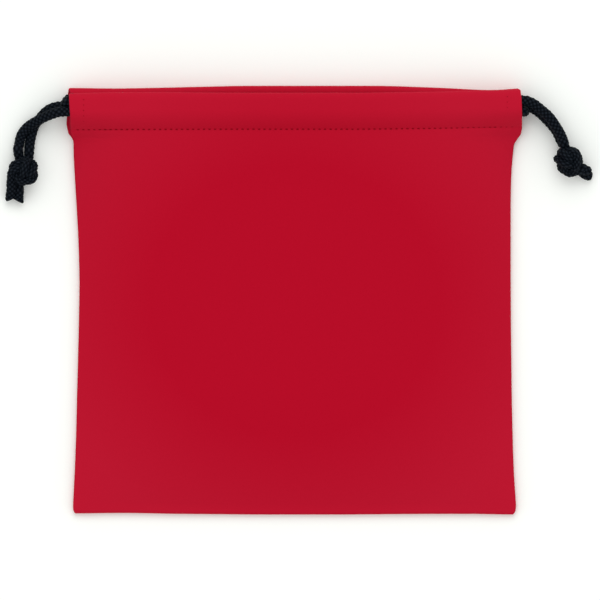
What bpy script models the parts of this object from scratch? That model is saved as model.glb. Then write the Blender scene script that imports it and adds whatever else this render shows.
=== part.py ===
"""Kinchaku drawstring pouch, empty and lying on its back, with its mouth towards +Y.

One piece of thick knitted cloth makes the whole bag. It is folded at the bottom, its side edges are
turned in, its two ends are folded over into casings, and the side seams stop short of the top, which
leaves a slit at each side. Two braided cords run through both casings, one from each side. Each cord
crosses from the front casing to the back one at the far slit, and its two ends are tied in one
overhand knot outside the near slit.

Metres, +Z up. The origin is on the table, under the middle of the cloth.
"""

import math

import bmesh
import bpy
from mathutils import Matrix, Vector

# Cloth
CLOTH_THICKNESS = 0.0007
LAYER_GAP = 0.00015  # air between two layers folded onto each other
BODY_LENGTH = 0.1705  # bottom fold to the front casing's stitching
CASING_HEIGHT = 0.0164  # that stitching to the front casing's top fold
FLAP_LENGTH = 0.0020  # cloth below the stitching, inside the pouch
HEM_WIDTH = 0.0085  # cloth turned in along both sides
HEM_TAPER = 0.0060  # how far the hem's bulk takes to fade out
SLIT_BELOW_STITCHING = 0.0028  # the side seams end this far under the casing

# Outline
CASING_WIDTH = 0.2000
INNER_LAYER_INSET = 0.0022  # the casing's inner layer is this much narrower at each end
SEAM_TOP_INSET = 0.0025  # the body's sides lie this far inside the casing's ends, just below the slits
WAIST_INSET = 0.0047  # at the narrowest place
WAIST_HEIGHT = 0.1080  # of the narrowest place, above the bottom fold
BOTTOM_INSET = 0.0019  # at the bottom fold
FLARE_HEIGHT = 0.0035  # the sides start to widen this far below the slits
FLARE_TOP = 0.0012  # and have the casing's width this far above the slits' lower ends
SEAM_CURVE = 1.5  # how late the sides widen again above the narrowest place
CORNER_CUT = 0.0012  # how much the bottom corners are rounded off
CORNER_HEIGHT = 0.0035

# The back casing lies a little further up than the front one, most of all in its middle
BACK_CASING_RISE = 0.0010
BACK_CASING_BOW = 0.0017

# Heights of the front panel over the table
MOUTH_GAP = 0.0050  # between the casings, in the middle of the mouth
SLIT_GAP = 0.0003  # between the casings, at the slits
BODY_HEIGHT = 0.0114  # middle of the front panel
SIDE_ROUNDING = 0.0450  # the front panel reaches its height this far in from the sides
BOTTOM_ROUNDING = 0.0550
CASING_BLEND = 0.0260  # stretch below the casing in which the panel rises to it
SEAM_DROP = 0.0015  # the sides come down to the seam this far below the slit

# Cords
CORD_DIAMETER = 0.0040
CORD_CLEARANCE = 0.0003
LANE_GAP = 0.0004  # between the two cords in one casing
LANE_DROP = 0.0003  # the upper cord lies this far below the middle of the casing's fold
LOOP_REACH = 0.0033  # how far a cord's turn at the far slit swings out of its straight runs
CORD_SIDES = 2  # bevel resolution, which makes 8 sides
LOOP_TURN = 20  # degrees from point to point round a loop
MOUTH_SHARE = 0.985  # of half the casing's width, where a cord's free end starts
KNOT_GAP = 0.0004

# Free ends, as (outwards from the casing's end, towards +Y from the cord's run in it, height over the table)
LEFT_FRONT_ROUTE = (
    (0.0035, 0.0000, 0.0117), (0.0083, -0.0008, 0.0110), (0.0123, -0.0026, 0.0100),
    (0.0168, -0.0055, 0.0084), (0.0206, -0.0093, 0.0068), (0.0223, -0.0138, 0.0054),
    (0.0225, -0.0180, 0.0046),
)
LEFT_BACK_ROUTE = (
    (0.0035, 0.0018, 0.0036), (0.0083, 0.0002, 0.0029), (0.0122, -0.0028, 0.0024),
    (0.0153, -0.0069, 0.0022), (0.0170, -0.0112, 0.0024), (0.0179, -0.0150, 0.0034),
    (0.0182, -0.0180, 0.0042),
)
# Knots, as the middle, the size and the turn of each of the two bands that show on an overhand knot
LEFT_BANDS = (
    ((0.0203, -0.0262, 0.0047), (0.0132, 0.0062, 0.0086), math.radians(2)),
    ((0.0205, -0.0310, 0.0045), (0.0130, 0.0058, 0.0080), math.radians(9)),
)
LEFT_TAILS = (
    ((0.0244, -0.0315, 0.0040), (0.0262, -0.0393, 0.0025)),
    ((0.0212, -0.0310, 0.0040), (0.0224, -0.0402, 0.0025)),
)

RIGHT_FRONT_ROUTE = (
    (0.0040, -0.0002, 0.0117), (0.0076, -0.0019, 0.0112), (0.0111, -0.0049, 0.0103),
    (0.0142, -0.0091, 0.0093), (0.0167, -0.0136, 0.0082), (0.0181, -0.0170, 0.0074),
)
RIGHT_BACK_ROUTE = (
    (0.0040, 0.0007, 0.0034), (0.0072, -0.0017, 0.0027), (0.0103, -0.0053, 0.0023),
    (0.0132, -0.0095, 0.0023), (0.0156, -0.0139, 0.0024), (0.0172, -0.0172, 0.0027),
)
RIGHT_BANDS = (
    ((0.0203, -0.0236, 0.0055), (0.0110, 0.0066, 0.0096), math.radians(15)),
    ((0.0213, -0.0288, 0.0052), (0.0126, 0.0064, 0.0090), math.radians(32)),
)
RIGHT_TAILS = (
    ((0.0225, -0.0290, 0.0066), (0.0314, -0.0337, 0.0062)),
    ((0.0225, -0.0292, 0.0027), (0.0310, -0.0341, 0.0023)),
)
KNOT_STUB = 0.0075  # length of strand from the end of a cord's tube into its knot
STRAND_FACETS = 12
BAND_FACETS = (18, 10)

# Colours, linear, and roughness
CLOTH_COLOUR = (0.48, 0.008, 0.022, 1.0)
CORD_COLOUR = (0.010, 0.011, 0.016, 1.0)
CLOTH_ROUGHNESS = 0.85
CORD_ROUGHNESS = 0.70

# Sizes that follow
PITCH = CLOTH_THICKNESS + LAYER_GAP  # middle of one layer to the middle of the next
HALF = CLOTH_THICKNESS / 2
CHANNEL = CORD_DIAMETER + 2 * CORD_CLEARANCE + CLOTH_THICKNESS
LANE_PITCH = CORD_DIAMETER + LANE_GAP
SEAM_HEIGHT = HALF + 3 * PITCH  # front panel's middle where four layers lie on each other
FOLD_MIDDLE = BODY_LENGTH + CASING_HEIGHT - HALF - CHANNEL / 2
UPPER_LANE = FOLD_MIDDLE - LANE_DROP
LOWER_LANE = UPPER_LANE - LANE_PITCH
SLIT_END = BODY_LENGTH - SLIT_BELOW_STITCHING
PANEL_LENGTH = BODY_LENGTH + CASING_HEIGHT + BACK_CASING_RISE + BACK_CASING_BOW
ORIGIN_SHIFT = Vector((0.0, -PANEL_LENGTH / 2, 0.0))

FOLD_STEPS = 6  # facets round a fold along the pouch's width
TURN_STEPS = 4  # facets round a turned-in side
SLOPE_EXPONENT = 2.0  # how late the casing comes down to its stitching
SLOPE_SHARES = (0.72, 0.45, 0.2, 0.0)
COLUMN_SHARES = (0.49, 0.71, 1.0)  # of SIDE_ROUNDING, places for lines up the pouch inside the hems


def smooth(low, high, value):
    """0 below low, 1 above high, and an even curve between them."""
    share = min(max((value - low) / (high - low), 0.0), 1.0)
    return share * share * (3 - 2 * share)


def dome(distance, reach):
    """Rises from 0 at an edge to 1 at reach, level there."""
    return 1 - (1 - min(max(distance, 0.0) / reach, 1.0)) ** 2


def half_width(height):
    """Half the outline's width at a height above the bottom fold."""
    if height < WAIST_HEIGHT:
        share = ((WAIST_HEIGHT - height) / WAIST_HEIGHT) ** 2
        inset = WAIST_INSET + (BOTTOM_INSET - WAIST_INSET) * share
    else:
        share = min((height - WAIST_HEIGHT) / (SLIT_END - WAIST_HEIGHT), 1.0) ** SEAM_CURVE
        inset = WAIST_INSET + (SEAM_TOP_INSET - WAIST_INSET) * share
    inset *= 1 - smooth(SLIT_END - FLARE_HEIGHT, SLIT_END + FLARE_TOP, height)
    inset += CORNER_CUT * max(1 - height / CORNER_HEIGHT, 0.0) ** 2
    return CASING_WIDTH / 2 - inset


def hem_share(inset):
    """1 where the turned-in hem lies under a layer, 0 further in."""
    return 1 - smooth(HEM_WIDTH, HEM_WIDTH + HEM_TAPER, inset)


def channel_depth(inset):
    """Between the middles of a casing's two layers, over the cords."""
    return CHANNEL + 2 * PITCH * hem_share(inset)


def sewn_depth(inset):
    """The same at the casing's stitching."""
    return PITCH + 2 * PITCH * hem_share(inset)


def between(at_side, in_middle, inset):
    return at_side + (in_middle - at_side) * dome(inset, SIDE_ROUNDING)


def back_channel_height(inset):
    return HALF + channel_depth(inset) / 2


def front_channel_height(inset):
    """Middle of the front casing's channel over the table."""
    side_depth, middle_depth = channel_depth(0.0), CHANNEL
    side = 2 * HALF + side_depth + HALF + SLIT_GAP + side_depth / 2
    middle = 2 * HALF + middle_depth + HALF + MOUTH_GAP + middle_depth / 2
    return between(side, middle, inset)


def front_sewn_height(inset):
    """Middle of the front casing's layers at the stitching."""
    side = 2 * HALF + sewn_depth(0.0) + LAYER_GAP + HALF + sewn_depth(0.0) / 2
    middle = 2 * HALF + CHANNEL + MOUTH_GAP + HALF + PITCH / 2
    return between(side, middle, inset)


def back_shift(inset):
    """How far the back casing lies further up than the front one."""
    return BACK_CASING_RISE + BACK_CASING_BOW * dome(inset, SIDE_ROUNDING)


def front_panel_height(height, inset):
    """Middle of the front panel over the table, below the casing."""
    top_side = front_sewn_height(0.0) + sewn_depth(0.0) / 2
    top_middle = front_sewn_height(SIDE_ROUNDING) + PITCH / 2
    drop = smooth(SLIT_END - SEAM_DROP, BODY_LENGTH, height)
    side = SEAM_HEIGHT + (top_side - SEAM_HEIGHT) * drop
    middle = SEAM_HEIGHT + (BODY_HEIGHT - SEAM_HEIGHT) * dome(height - CORNER_HEIGHT, BOTTOM_ROUNDING)
    middle += (top_middle - BODY_HEIGHT) * smooth(BODY_LENGTH - CASING_BLEND, BODY_LENGTH, height)
    return between(side, max(middle, side), inset)


def casing_rows(shift, channel, sewn, depth, sewn_gap, side, inner):
    """Points from the stitching to the top fold, on one layer of a casing.

    side is +1 on the layer further from the table and -1 on the nearer one, inner is 1 on the inner layer.
    """
    low, high = BODY_LENGTH + shift, LOWER_LANE + shift
    top = channel + side * depth / 2
    bottom = sewn + side * sewn_gap / 2
    rows = [(low, bottom, inner)]
    for share in SLOPE_SHARES:
        drop = share**SLOPE_EXPONENT
        rows.append((high - (high - low) * share, top + (bottom - top) * drop, inner))
    rows.append((FOLD_MIDDLE + shift, top, inner))
    return rows


def fold(centre_height, centre_level, radius, start, end, inner_side=0):
    """Points round a fold, without its two ends.

    inner_side is the sign of the side that the inner layer is on.
    """
    points = []
    for step in range(1, FOLD_STEPS):
        angle = start + (end - start) * step / FOLD_STEPS
        over = math.sin(angle)
        inner = max(over * inner_side, 0.0)
        points.append((centre_height + radius * math.cos(angle), centre_level + radius * over, inner))
    return points


SHOULDER_ROWS = (
    SLIT_BELOW_STITCHING / 2,
    SLIT_BELOW_STITCHING,
    SLIT_BELOW_STITCHING + SEAM_DROP,
    SLIT_BELOW_STITCHING + FLARE_HEIGHT,
)
BODY_SHARES = (0.93, 0.84, 0.72, 0.58, 0.44, 0.31, 0.21, 0.13, 0.07, 0.03)
BACK_SHARES = (0.03, 0.10, 0.22, 0.38, 0.56, 0.74, 0.88)


def section(inset):
    """The cloth's middle line at one distance in from the side, from the front flap's edge to the back's.

    Each point is (height above the bottom fold, height over the table, 1 on an inner layer and 0 on others).
    """
    depth, sewn_gap = channel_depth(inset), sewn_depth(inset)
    channel, sewn = front_channel_height(inset), front_sewn_height(inset)
    radius = SEAM_HEIGHT / 2 - HALF / 2
    line = [(BODY_LENGTH - FLAP_LENGTH, sewn - sewn_gap / 2, 1)]
    line += casing_rows(0.0, channel, sewn, depth, sewn_gap, -1, 1)
    line += fold(FOLD_MIDDLE, channel, depth / 2, -math.pi / 2, math.pi / 2, -1)
    line += reversed(casing_rows(0.0, channel, sewn, depth, sewn_gap, 1, 0))
    for below in SHOULDER_ROWS:
        line.append((BODY_LENGTH - below, front_panel_height(BODY_LENGTH - below, inset), 0))
    reach = BODY_LENGTH - SHOULDER_ROWS[-1] - CORNER_HEIGHT
    for share in (*BODY_SHARES, 0.0):
        height = CORNER_HEIGHT + reach * share
        line.append((height, front_panel_height(height, inset), 0))
    centre = HALF + radius
    line.append((centre, SEAM_HEIGHT, 0))
    line += fold(centre, centre, radius, math.pi / 2, 3 * math.pi / 2)
    line.append((centre, HALF, 0))
    line += [(CORNER_HEIGHT + reach * share, HALF, 0) for share in (0.0, *BACK_SHARES, 1.0)]
    for below in reversed(SHOULDER_ROWS[:-1]):
        line.append((BODY_LENGTH - below, HALF, 0))
    shift, back = back_shift(inset), back_channel_height(inset)
    line += [(place + shift, HALF, 0) for place in (BODY_LENGTH, LOWER_LANE, FOLD_MIDDLE)]
    line += fold(FOLD_MIDDLE + shift, back, depth / 2, -math.pi / 2, math.pi / 2, 1)
    back_sewn = HALF + sewn_gap / 2
    line += reversed(casing_rows(shift, back, back_sewn, depth, sewn_gap, 1, 1))
    line.append((BODY_LENGTH - FLAP_LENGTH + shift, HALF + sewn_gap, 1))
    return line


def column(side, inset, middle_share=0.0):
    """The sheet's middle surface along one line up the pouch, side is -1 at the left and +1 at the right."""
    points = []
    for height, level, inner in section(inset):
        half = half_width(height) - INNER_LAYER_INSET * inner
        points.append(Vector((side * (half - inset) * (1 - middle_share), height, level)))
    return points


def clear_scene():
    for obj in list(bpy.data.objects):
        bpy.data.objects.remove(obj, do_unlink=True)


def material(name, colour, roughness):
    finish = bpy.data.materials.new(name)
    finish.use_nodes = True
    shader = finish.node_tree.nodes["Principled BSDF"]
    shader.inputs["Base Color"].default_value = colour
    shader.inputs["Roughness"].default_value = roughness
    finish.diffuse_color = colour
    return finish


def add_object(name, data, finish=None):
    obj = bpy.data.objects.new(name, data)
    bpy.context.scene.collection.objects.link(obj)
    if finish is not None:
        data.materials.append(finish)
    return obj


def pouch_cloth(finish):
    """The folded sheet, as a surface with its side edges turned in, given its thickness by Solidify."""
    turn = PITCH / 2
    start = HALF + turn
    insets = [start, HEM_WIDTH / 2, HEM_WIDTH, HEM_WIDTH + HEM_TAPER]
    insets += [SIDE_ROUNDING * share for share in COLUMN_SHARES]
    columns = [column(-1, inset) for inset in insets]
    columns += [column(-1, SIDE_ROUNDING, 0.5), column(1, SIDE_ROUNDING, 1.0), column(1, SIDE_ROUNDING, 0.5)]
    columns += [column(1, inset) for inset in reversed(insets)]
    bm = bmesh.new()
    grid = [[bm.verts.new(point) for point in points] for points in columns]
    for left, right in zip(grid, grid[1:]):
        for row in range(len(left) - 1):
            bm.faces.new((left[row], right[row], right[row + 1], left[row + 1]))
    bm.normal_update()
    for edge, inward in ((0, 1), (len(grid) - 1, -1)):
        turned = []
        for row, vert in enumerate(grid[edge]):
            outward = (vert.co - grid[edge + inward][row].co).normalized()
            wrong_side = vert.normal
            arc = []
            for step in range(1, TURN_STEPS + 1):
                angle = math.pi * step / TURN_STEPS
                swing = outward * math.sin(angle) + wrong_side * (1 - math.cos(angle))
                arc.append(vert.co + swing * turn)
            for along in (1, 2):
                under = grid[edge + inward * along][row]
                arc.append(under.co + under.normal * PITCH)
            turned.append([bm.verts.new(point) for point in arc])
        for row in range(len(turned) - 1):
            here, there = [grid[edge][row], *turned[row]], [grid[edge][row + 1], *turned[row + 1]]
            for a, b, c, d in zip(here, here[1:], there[1:], there):
                bm.faces.new((a, b, c, d) if inward < 0 else (d, c, b, a))
    bmesh.ops.translate(bm, verts=bm.verts, vec=ORIGIN_SHIFT)
    bmesh.ops.recalc_face_normals(bm, faces=bm.faces)
    mesh = bpy.data.meshes.new("pouch_cloth")
    bm.to_mesh(mesh)
    bm.free()
    mesh.shade_smooth()
    obj = add_object("pouch_cloth", mesh, finish)
    thicken = obj.modifiers.new("Thickness", "SOLIDIFY")
    thicken.thickness = CLOTH_THICKNESS
    thicken.offset = 0.0
    thicken.use_even_offset = True
    return obj


def catmull_rom(points, steps):
    """A smooth line through points, with steps points from each to the next."""
    ends = [points[0] * 2 - points[1], *points, points[-1] * 2 - points[-2]]
    line = []
    for a, b, c, d in zip(ends, ends[1:], ends[2:], ends[3:]):
        for step in range(steps):
            t = step / steps
            square = (2 * a - 5 * b + 4 * c - d) * t**2
            cube = (3 * b - 3 * c + d - a) * t**3
            line.append(0.5 * (2 * b + (c - a) * t + square + cube))
    return [*line, points[-1]]


def channel_point(x, lane, back):
    """A point of a cord's middle inside a casing."""
    inset = max(CASING_WIDTH / 2 - abs(x), 0.0)
    if back:
        return Vector((x, lane + back_shift(inset), back_channel_height(inset))) + ORIGIN_SHIFT
    return Vector((x, lane, front_channel_height(inset))) + ORIGIN_SHIFT


def route_points(side, lane, route):
    start = Vector((side * CASING_WIDTH / 2, lane, 0.0)) + ORIGIN_SHIFT
    return [start + Vector((side * out, up, over)) for out, up, over in route]


# Places of a cord's points in the casings, as shares of half the casing's width
HALF_CHANNEL = (0.14, 0.28, 0.42, 0.55, 0.67, 0.77, 0.85, 0.91, 0.95)


def cord_line(side, lane, front_route, back_route):
    """A cord's middle from its knot, through the front casing, round at the far slit and back."""
    half = CASING_WIDTH / 2
    far = -side * (half - CORD_DIAMETER / 2 + CORD_CLEARANCE)
    straight = [side * half * share for share in (MOUTH_SHARE, *reversed(HALF_CHANNEL))]
    straight += [-side * half * share for share in (0.0, *HALF_CHANNEL)]
    front = [channel_point(x, lane, False) for x in straight]
    back = [channel_point(x, lane, True) for x in reversed(straight)]
    top, bottom = channel_point(far, lane, False), channel_point(far, lane, True)
    middle, arm = (top + bottom) / 2, (top - bottom) / 2
    out = Vector((-side * LOOP_REACH, 0.0, 0.0))
    turns = [math.radians(degrees) for degrees in range(0, 181, LOOP_TURN)]
    loop = [middle + arm * math.cos(turn) + out * math.sin(turn) for turn in turns]
    inward = catmull_rom([*reversed(route_points(side, lane, front_route)), *front[:2]], 2)
    outward = catmull_rom([*back[-2:], *route_points(side, lane, back_route)], 2)
    return [*inward, *front[2:], *loop, *back[:-2], *outward]


def cord_tube(name, line, finish):
    curve = bpy.data.curves.new(name, "CURVE")
    curve.dimensions = "3D"
    curve.bevel_depth = CORD_DIAMETER / 2
    curve.bevel_resolution = CORD_SIDES
    curve.use_fill_caps = True
    spline = curve.splines.new("POLY")
    spline.points.add(len(line) - 1)
    for point, place in zip(spline.points, line):
        point.co = (*place, 1.0)
    return add_object(name, curve, finish)


def rod(name, start, end, diameter):
    """A straight round length of cord."""
    way = end - start
    bm = bmesh.new()
    place = Matrix.Translation((start + end) / 2) @ way.to_track_quat("Z", "Y").to_matrix().to_4x4()
    radius = diameter / 2
    bmesh.ops.create_cone(
        bm,
        cap_ends=True,
        segments=STRAND_FACETS,
        radius1=radius,
        radius2=radius,
        depth=way.length,
        matrix=place,
    )
    mesh = bpy.data.meshes.new(name)
    bm.to_mesh(mesh)
    bm.free()
    return add_object(name, mesh)


def knot_band(name, centre, size, turn):
    """A flattened ball, round which one turn of a knot's two strands runs."""
    bm = bmesh.new()
    scale = Matrix.Diagonal((*(length / 2 for length in size), 1.0))
    lie = Matrix.Translation(centre) @ Matrix.Rotation(turn, 4, "Z") @ scale
    around, over = BAND_FACETS
    bmesh.ops.create_uvsphere(bm, u_segments=around, v_segments=over, radius=1.0, matrix=lie)
    mesh = bpy.data.meshes.new(name)
    bm.to_mesh(mesh)
    bm.free()
    mesh.shade_smooth()
    return add_object(name, mesh)


def knot(name, side, lane, routes, bands, tails, finish):
    """The outer shape of an overhand knot in two strands, with the strands that enter it and their tails."""
    bodies = []
    for number, (place, size, turn) in enumerate(bands):
        (centre,) = route_points(side, lane, [place])
        bodies.append(knot_band(name if number == 0 else f"{name}_band_{number}", centre, size, turn))
    obj = bodies[0]
    obj.data.materials.append(finish)
    for route in routes:
        before, last = route_points(side, lane, route)[-2:]
        way = (last - before).normalized()
        end = last + way * KNOT_STUB
        bodies.append(rod(f"{name}_strand_{len(bodies)}", last + way * KNOT_GAP, end, CORD_DIAMETER))
    for tail in tails:
        start, end = route_points(side, lane, tail)
        bodies.append(rod(f"{name}_tail_{len(bodies)}", start, end, CORD_DIAMETER))
    for body in bodies[1:]:
        body.hide_render = True
        body.display_type = "WIRE"
        join = obj.modifiers.new(f"Join {body.name}", "BOOLEAN")
        join.operation = "UNION"
        join.solver = "EXACT"
        join.object = body


def main():
    clear_scene()
    cloth = material("red_cloth", CLOTH_COLOUR, CLOTH_ROUGHNESS)
    cord = material("black_cord", CORD_COLOUR, CORD_ROUGHNESS)
    pouch_cloth(cloth)
    left, right = (LEFT_FRONT_ROUTE, LEFT_BACK_ROUTE), (RIGHT_FRONT_ROUTE, RIGHT_BACK_ROUTE)
    cord_tube("left_cord", cord_line(-1, LOWER_LANE, *left), cord)
    cord_tube("right_cord", cord_line(1, UPPER_LANE, *right), cord)
    knot("left_knot", -1, LOWER_LANE, left, LEFT_BANDS, LEFT_TAILS, cord)
    knot("right_knot", 1, UPPER_LANE, right, RIGHT_BANDS, RIGHT_TAILS, cord)


main()
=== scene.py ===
import math

import bmesh
import bpy
import numpy as np
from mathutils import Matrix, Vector


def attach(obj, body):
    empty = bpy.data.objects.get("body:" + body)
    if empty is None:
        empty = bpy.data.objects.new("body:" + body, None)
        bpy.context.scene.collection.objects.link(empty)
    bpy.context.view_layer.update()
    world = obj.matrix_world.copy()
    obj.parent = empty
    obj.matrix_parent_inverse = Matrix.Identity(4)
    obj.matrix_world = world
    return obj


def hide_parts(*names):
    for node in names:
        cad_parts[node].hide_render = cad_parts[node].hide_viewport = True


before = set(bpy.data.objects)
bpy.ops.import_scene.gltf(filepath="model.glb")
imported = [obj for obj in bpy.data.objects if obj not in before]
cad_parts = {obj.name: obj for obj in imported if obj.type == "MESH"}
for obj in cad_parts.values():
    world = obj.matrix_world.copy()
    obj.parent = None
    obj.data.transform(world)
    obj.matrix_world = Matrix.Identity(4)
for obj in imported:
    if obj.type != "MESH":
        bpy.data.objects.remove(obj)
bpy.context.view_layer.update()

# The origin is on the table under the middle of the pouch, which lies on its back with its mouth towards +Y.
# Lengths along the pouch are heights above its bottom fold.
pouch = {
    "length": 0.1896,           # bottom fold to the back casing's top, which sets where the origin is
    "bodyLength": 0.1705,       # bottom fold to the casing's stitching
    "casingHeight": 0.0164,     # stitching to the front casing's top fold
    "casingHalf": 0.1000,
    "flap": 0.0020,             # cloth below the stitching, on the inside
    "thickness": 0.0007,
    "layerGap": 0.00015,
    "hem": 0.0085,              # cloth turned in along both sides
    "hemTaper": 0.0060,
    "slitBelow": 0.0028,        # the side seams end this far under the stitching
    "leftFlare": (0.1663, 0.1694),  # heights between which the sides widen to the casing's ends
    "rightFlare": (0.1648, 0.1686),
    "seamDrop": 0.0015,
    "channel": 0.0053,          # casing layer to casing layer, middle to middle
    "cordDrop": 0.0003,
    "cordPitch": 0.0044,        # the two cords in a casing, middle to middle
    "innerInset": 0.0012,
    "mouthGap": 0.0050,
    "slitGap": 0.0003,
    "bodyHeight": 0.0114,
    "sideRounding": 0.0450,
    "bottomRounding": 0.0550,
    "casingBlend": 0.0260,
    "cornerCut": 0.0012,
    "cornerHeight": 0.0035,
    # each side, as height above the bottom fold and half the width there
    "leftSide": [(0.0, 0.0984), (0.007, 0.0981), (0.016, 0.0976), (0.033, 0.0969), (0.051, 0.0965),
                 (0.069, 0.0960), (0.086, 0.0956), (0.104, 0.0953), (0.122, 0.0958), (0.139, 0.0968),
                 (0.148, 0.0973), (0.157, 0.0979), (0.163, 0.0981), (0.170, 0.0982)],
    "rightSide": [(0.0, 0.0981), (0.007, 0.0979), (0.016, 0.0971), (0.033, 0.0965), (0.051, 0.0961),
                  (0.069, 0.0959), (0.086, 0.0957), (0.104, 0.0956), (0.122, 0.0956), (0.139, 0.0956),
                  (0.146, 0.0957), (0.153, 0.0960), (0.157, 0.0962), (0.1616, 0.0967), (0.1648, 0.0974),
                  (0.170, 0.0982)],
    # the casings' ends, in the same way
    "leftFront": [(0.1686, 0.0993), (0.176, 0.0993), (0.180, 0.0996), (0.187, 0.0999)],
    "leftBack": [(0.1694, 0.1006), (0.1718, 0.1011), (0.1745, 0.1011), (0.176, 0.1009), (0.185, 0.1004),
                 (0.1882, 0.1005), (0.1889, 0.0999)],
    "rightFront": [(0.1686, 0.1003), (0.172, 0.1008), (0.1735, 0.1006), (0.178, 0.1005), (0.1855, 0.1002),
                   (0.1873, 0.0998)],
    "rightBack": [(0.1686, 0.1000), (0.178, 0.1002), (0.1855, 0.1000), (0.1873, 0.0998), (0.1882, 0.0995),
                  (0.1890, 0.0988)],
    "sideTableRounding": 0.006,
    "endTableRounding": 0.0015,
    "flareRounding": 0.0003,
    # how far the back casing, the front casing's fold, its stitching and the bottom fold lie towards +Y
    # from their usual place, by x
    "backShift": [(-0.100, 0.0021), (-0.080, 0.0018), (-0.062, 0.0021), (-0.025, 0.0030), (0.042, 0.0030),
                  (0.069, 0.0020), (0.080, 0.0013), (0.090, 0.0010), (0.0945, 0.0014), (0.100, 0.0021)],
    "foldShift": [(-0.100, -0.0005), (-0.085, 0.0000), (-0.060, 0.0001), (-0.030, -0.0002), (0.030, -0.0002),
                  (0.065, 0.0003), (0.084, 0.0008), (0.091, 0.0008), (0.100, 0.0016)],
    "seamShift": [(-0.100, 0.0), (-0.030, 0.0002), (0.030, 0.0002), (0.065, 0.0006), (0.084, 0.0011),
                  (0.100, 0.0014)],
    "bottomShift": [(-0.095, 0.0006), (-0.086, 0.0008), (-0.073, 0.0008), (-0.055, 0.0004), (-0.037, 0.0003),
                    (-0.020, 0.0001), (0.024, 0.0001), (0.047, 0.0003), (0.064, 0.0004), (0.086, 0.0004),
                    (0.095, 0.0001)],
    "shiftFade": 0.012,         # length of the body in which the casing's shifts fade out
    "bottomFade": 0.030,        # and the bottom's
    "sideColumns": 34,
    "middleColumns": 84,
    "bodyRows": 64,
    "backRows": 30,
    "backCasingRows": 10,
    "rowCrowding": 1.15,        # over 1 brings the front panel's rows closer towards the bottom
    "nearSeam": (0.0005, 0.0063, 12),   # rows just below the stitching: the first, the last, how many
    "casingSteps": 14,
    "foldSteps": 12,
    "turnSteps": 8,
}
cordSizes = {
    "diameter": 0.0041,
    "loopReach": 0.0033,        # how far a cord's turn at the far slit swings out
    "loopStart": 0.0017,        # the turn starts this far inside the casing's end
    "followCloth": (0.078, 0.098),  # between these x a cord goes from the cloth's shifts to its own end's
    "strandStart": (0.95, 0.985),   # where a free end's line starts, as shares of half the casing's length
    "inCasing": [0.985, 0.95, 0.91, 0.87, 0.83, 0.79, 0.74, 0.67, 0.55, 0.42, 0.28, 0.14, 0.0, -0.14, -0.28,
                 -0.42, -0.55, -0.67, -0.74, -0.79, -0.83, -0.87, -0.91, -0.95],  # shares of half its length
    "lineStep": 0.0003,
    "braidPitch": 0.0022,       # crossing to crossing along the cord
    "braidPairs": 6,
    "braidDepth": 0.00105,
    "braidWeave": 0.55,         # how far a strand dips where it goes under
    "braidShadeSpan": (0.35, 1.2),  # the lie at and below which the painted shade is darkest, and the range above it up to the painted highlight
    "tipTaper": 0.85,
    "sides": 48,
    "ringStep": 0.00017,
    "hiddenStep": 0.0015,       # rings inside the casings, where no braid shows
    "shownReach": 0.022,        # length of fine rings to each side of the turn's middle
}
pitch = pouch["thickness"] + pouch["layerGap"]
halfCloth = pouch["thickness"] / 2
seamHeight = halfCloth + 3 * pitch
slitEnd = pouch["bodyLength"] - pouch["slitBelow"]
foldMiddle = pouch["bodyLength"] + pouch["casingHeight"] - halfCloth - pouch["channel"] / 2
upperCord = foldMiddle - pouch["cordDrop"]
lowerCord = upperCord - pouch["cordPitch"]
originShift = np.array((0.0, -pouch["length"] / 2, 0.0))


def smooth(low, high, value):
    share = np.clip((value - low) / (high - low), 0.0, 1.0)
    return share * share * (3 - 2 * share)


def dome(distance, reach):
    return 1 - (1 - np.clip(distance / reach, 0.0, 1.0)) ** 2


def softTable(table, value, radius=pouch["sideTableRounding"]):
    # a table of pairs read with its corners rounded
    xs, ys = zip(*table)
    return sum(np.interp(value + radius * k / 3, xs, ys) for k in range(-3, 4)) / 7


def frontLift(x, height):
    # how far the front cloth lies towards +Y from its usual place
    seam, fold = softTable(pouch["seamShift"], x), softTable(pouch["foldShift"], x)
    rise = np.clip((height - pouch["bodyLength"]) / pouch["casingHeight"], 0.0, 1.0)
    fade = smooth(pouch["bodyLength"] - pouch["shiftFade"], pouch["bodyLength"], height)
    return (seam + (fold - seam) * rise) * fade


def hemShare(inset):
    return 1 - smooth(pouch["hem"], pouch["hem"] + pouch["hemTaper"], inset)


def channelDepth(inset):
    return pouch["channel"] + 2 * pitch * hemShare(inset)


def sewnDepth(inset):
    return pitch + 2 * pitch * hemShare(inset)


def between(atSide, inMiddle, inset):
    return atSide + (inMiddle - atSide) * dome(inset, pouch["sideRounding"])


def backChannelHeight(inset):
    return halfCloth + channelDepth(inset) / 2


def frontChannelHeight(inset):
    sideDepth = channelDepth(0.0)
    side = 3 * halfCloth + sideDepth + pouch["slitGap"] + sideDepth / 2
    middle = 3 * halfCloth + pouch["channel"] + pouch["mouthGap"] + pouch["channel"] / 2
    return between(side, middle, inset)


def frontSewnHeight(inset):
    side = 3 * halfCloth + sewnDepth(0.0) + pouch["layerGap"] + sewnDepth(0.0) / 2
    middle = 3 * halfCloth + pouch["channel"] + pouch["mouthGap"] + pitch / 2
    return between(side, middle, inset)


# The camera looks straight down, from far enough away that heights hardly shift anything.
camera = {"x": 0.0023, "y": 0.0003, "height": 7.0, "frameWidth": 0.2655, "frameHeight": 0.006, "sensor": 36.0}
lens = bpy.data.cameras.new("camera")
lens.sensor_width = camera["sensor"]
lens.lens = camera["sensor"] * (camera["height"] - camera["frameHeight"]) / camera["frameWidth"]
cameraObject = bpy.data.objects.new("camera", lens)
cameraObject.location = (camera["x"], camera["y"], camera["height"])
bpy.context.scene.collection.objects.link(cameraObject)
bpy.context.scene.camera = cameraObject


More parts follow.
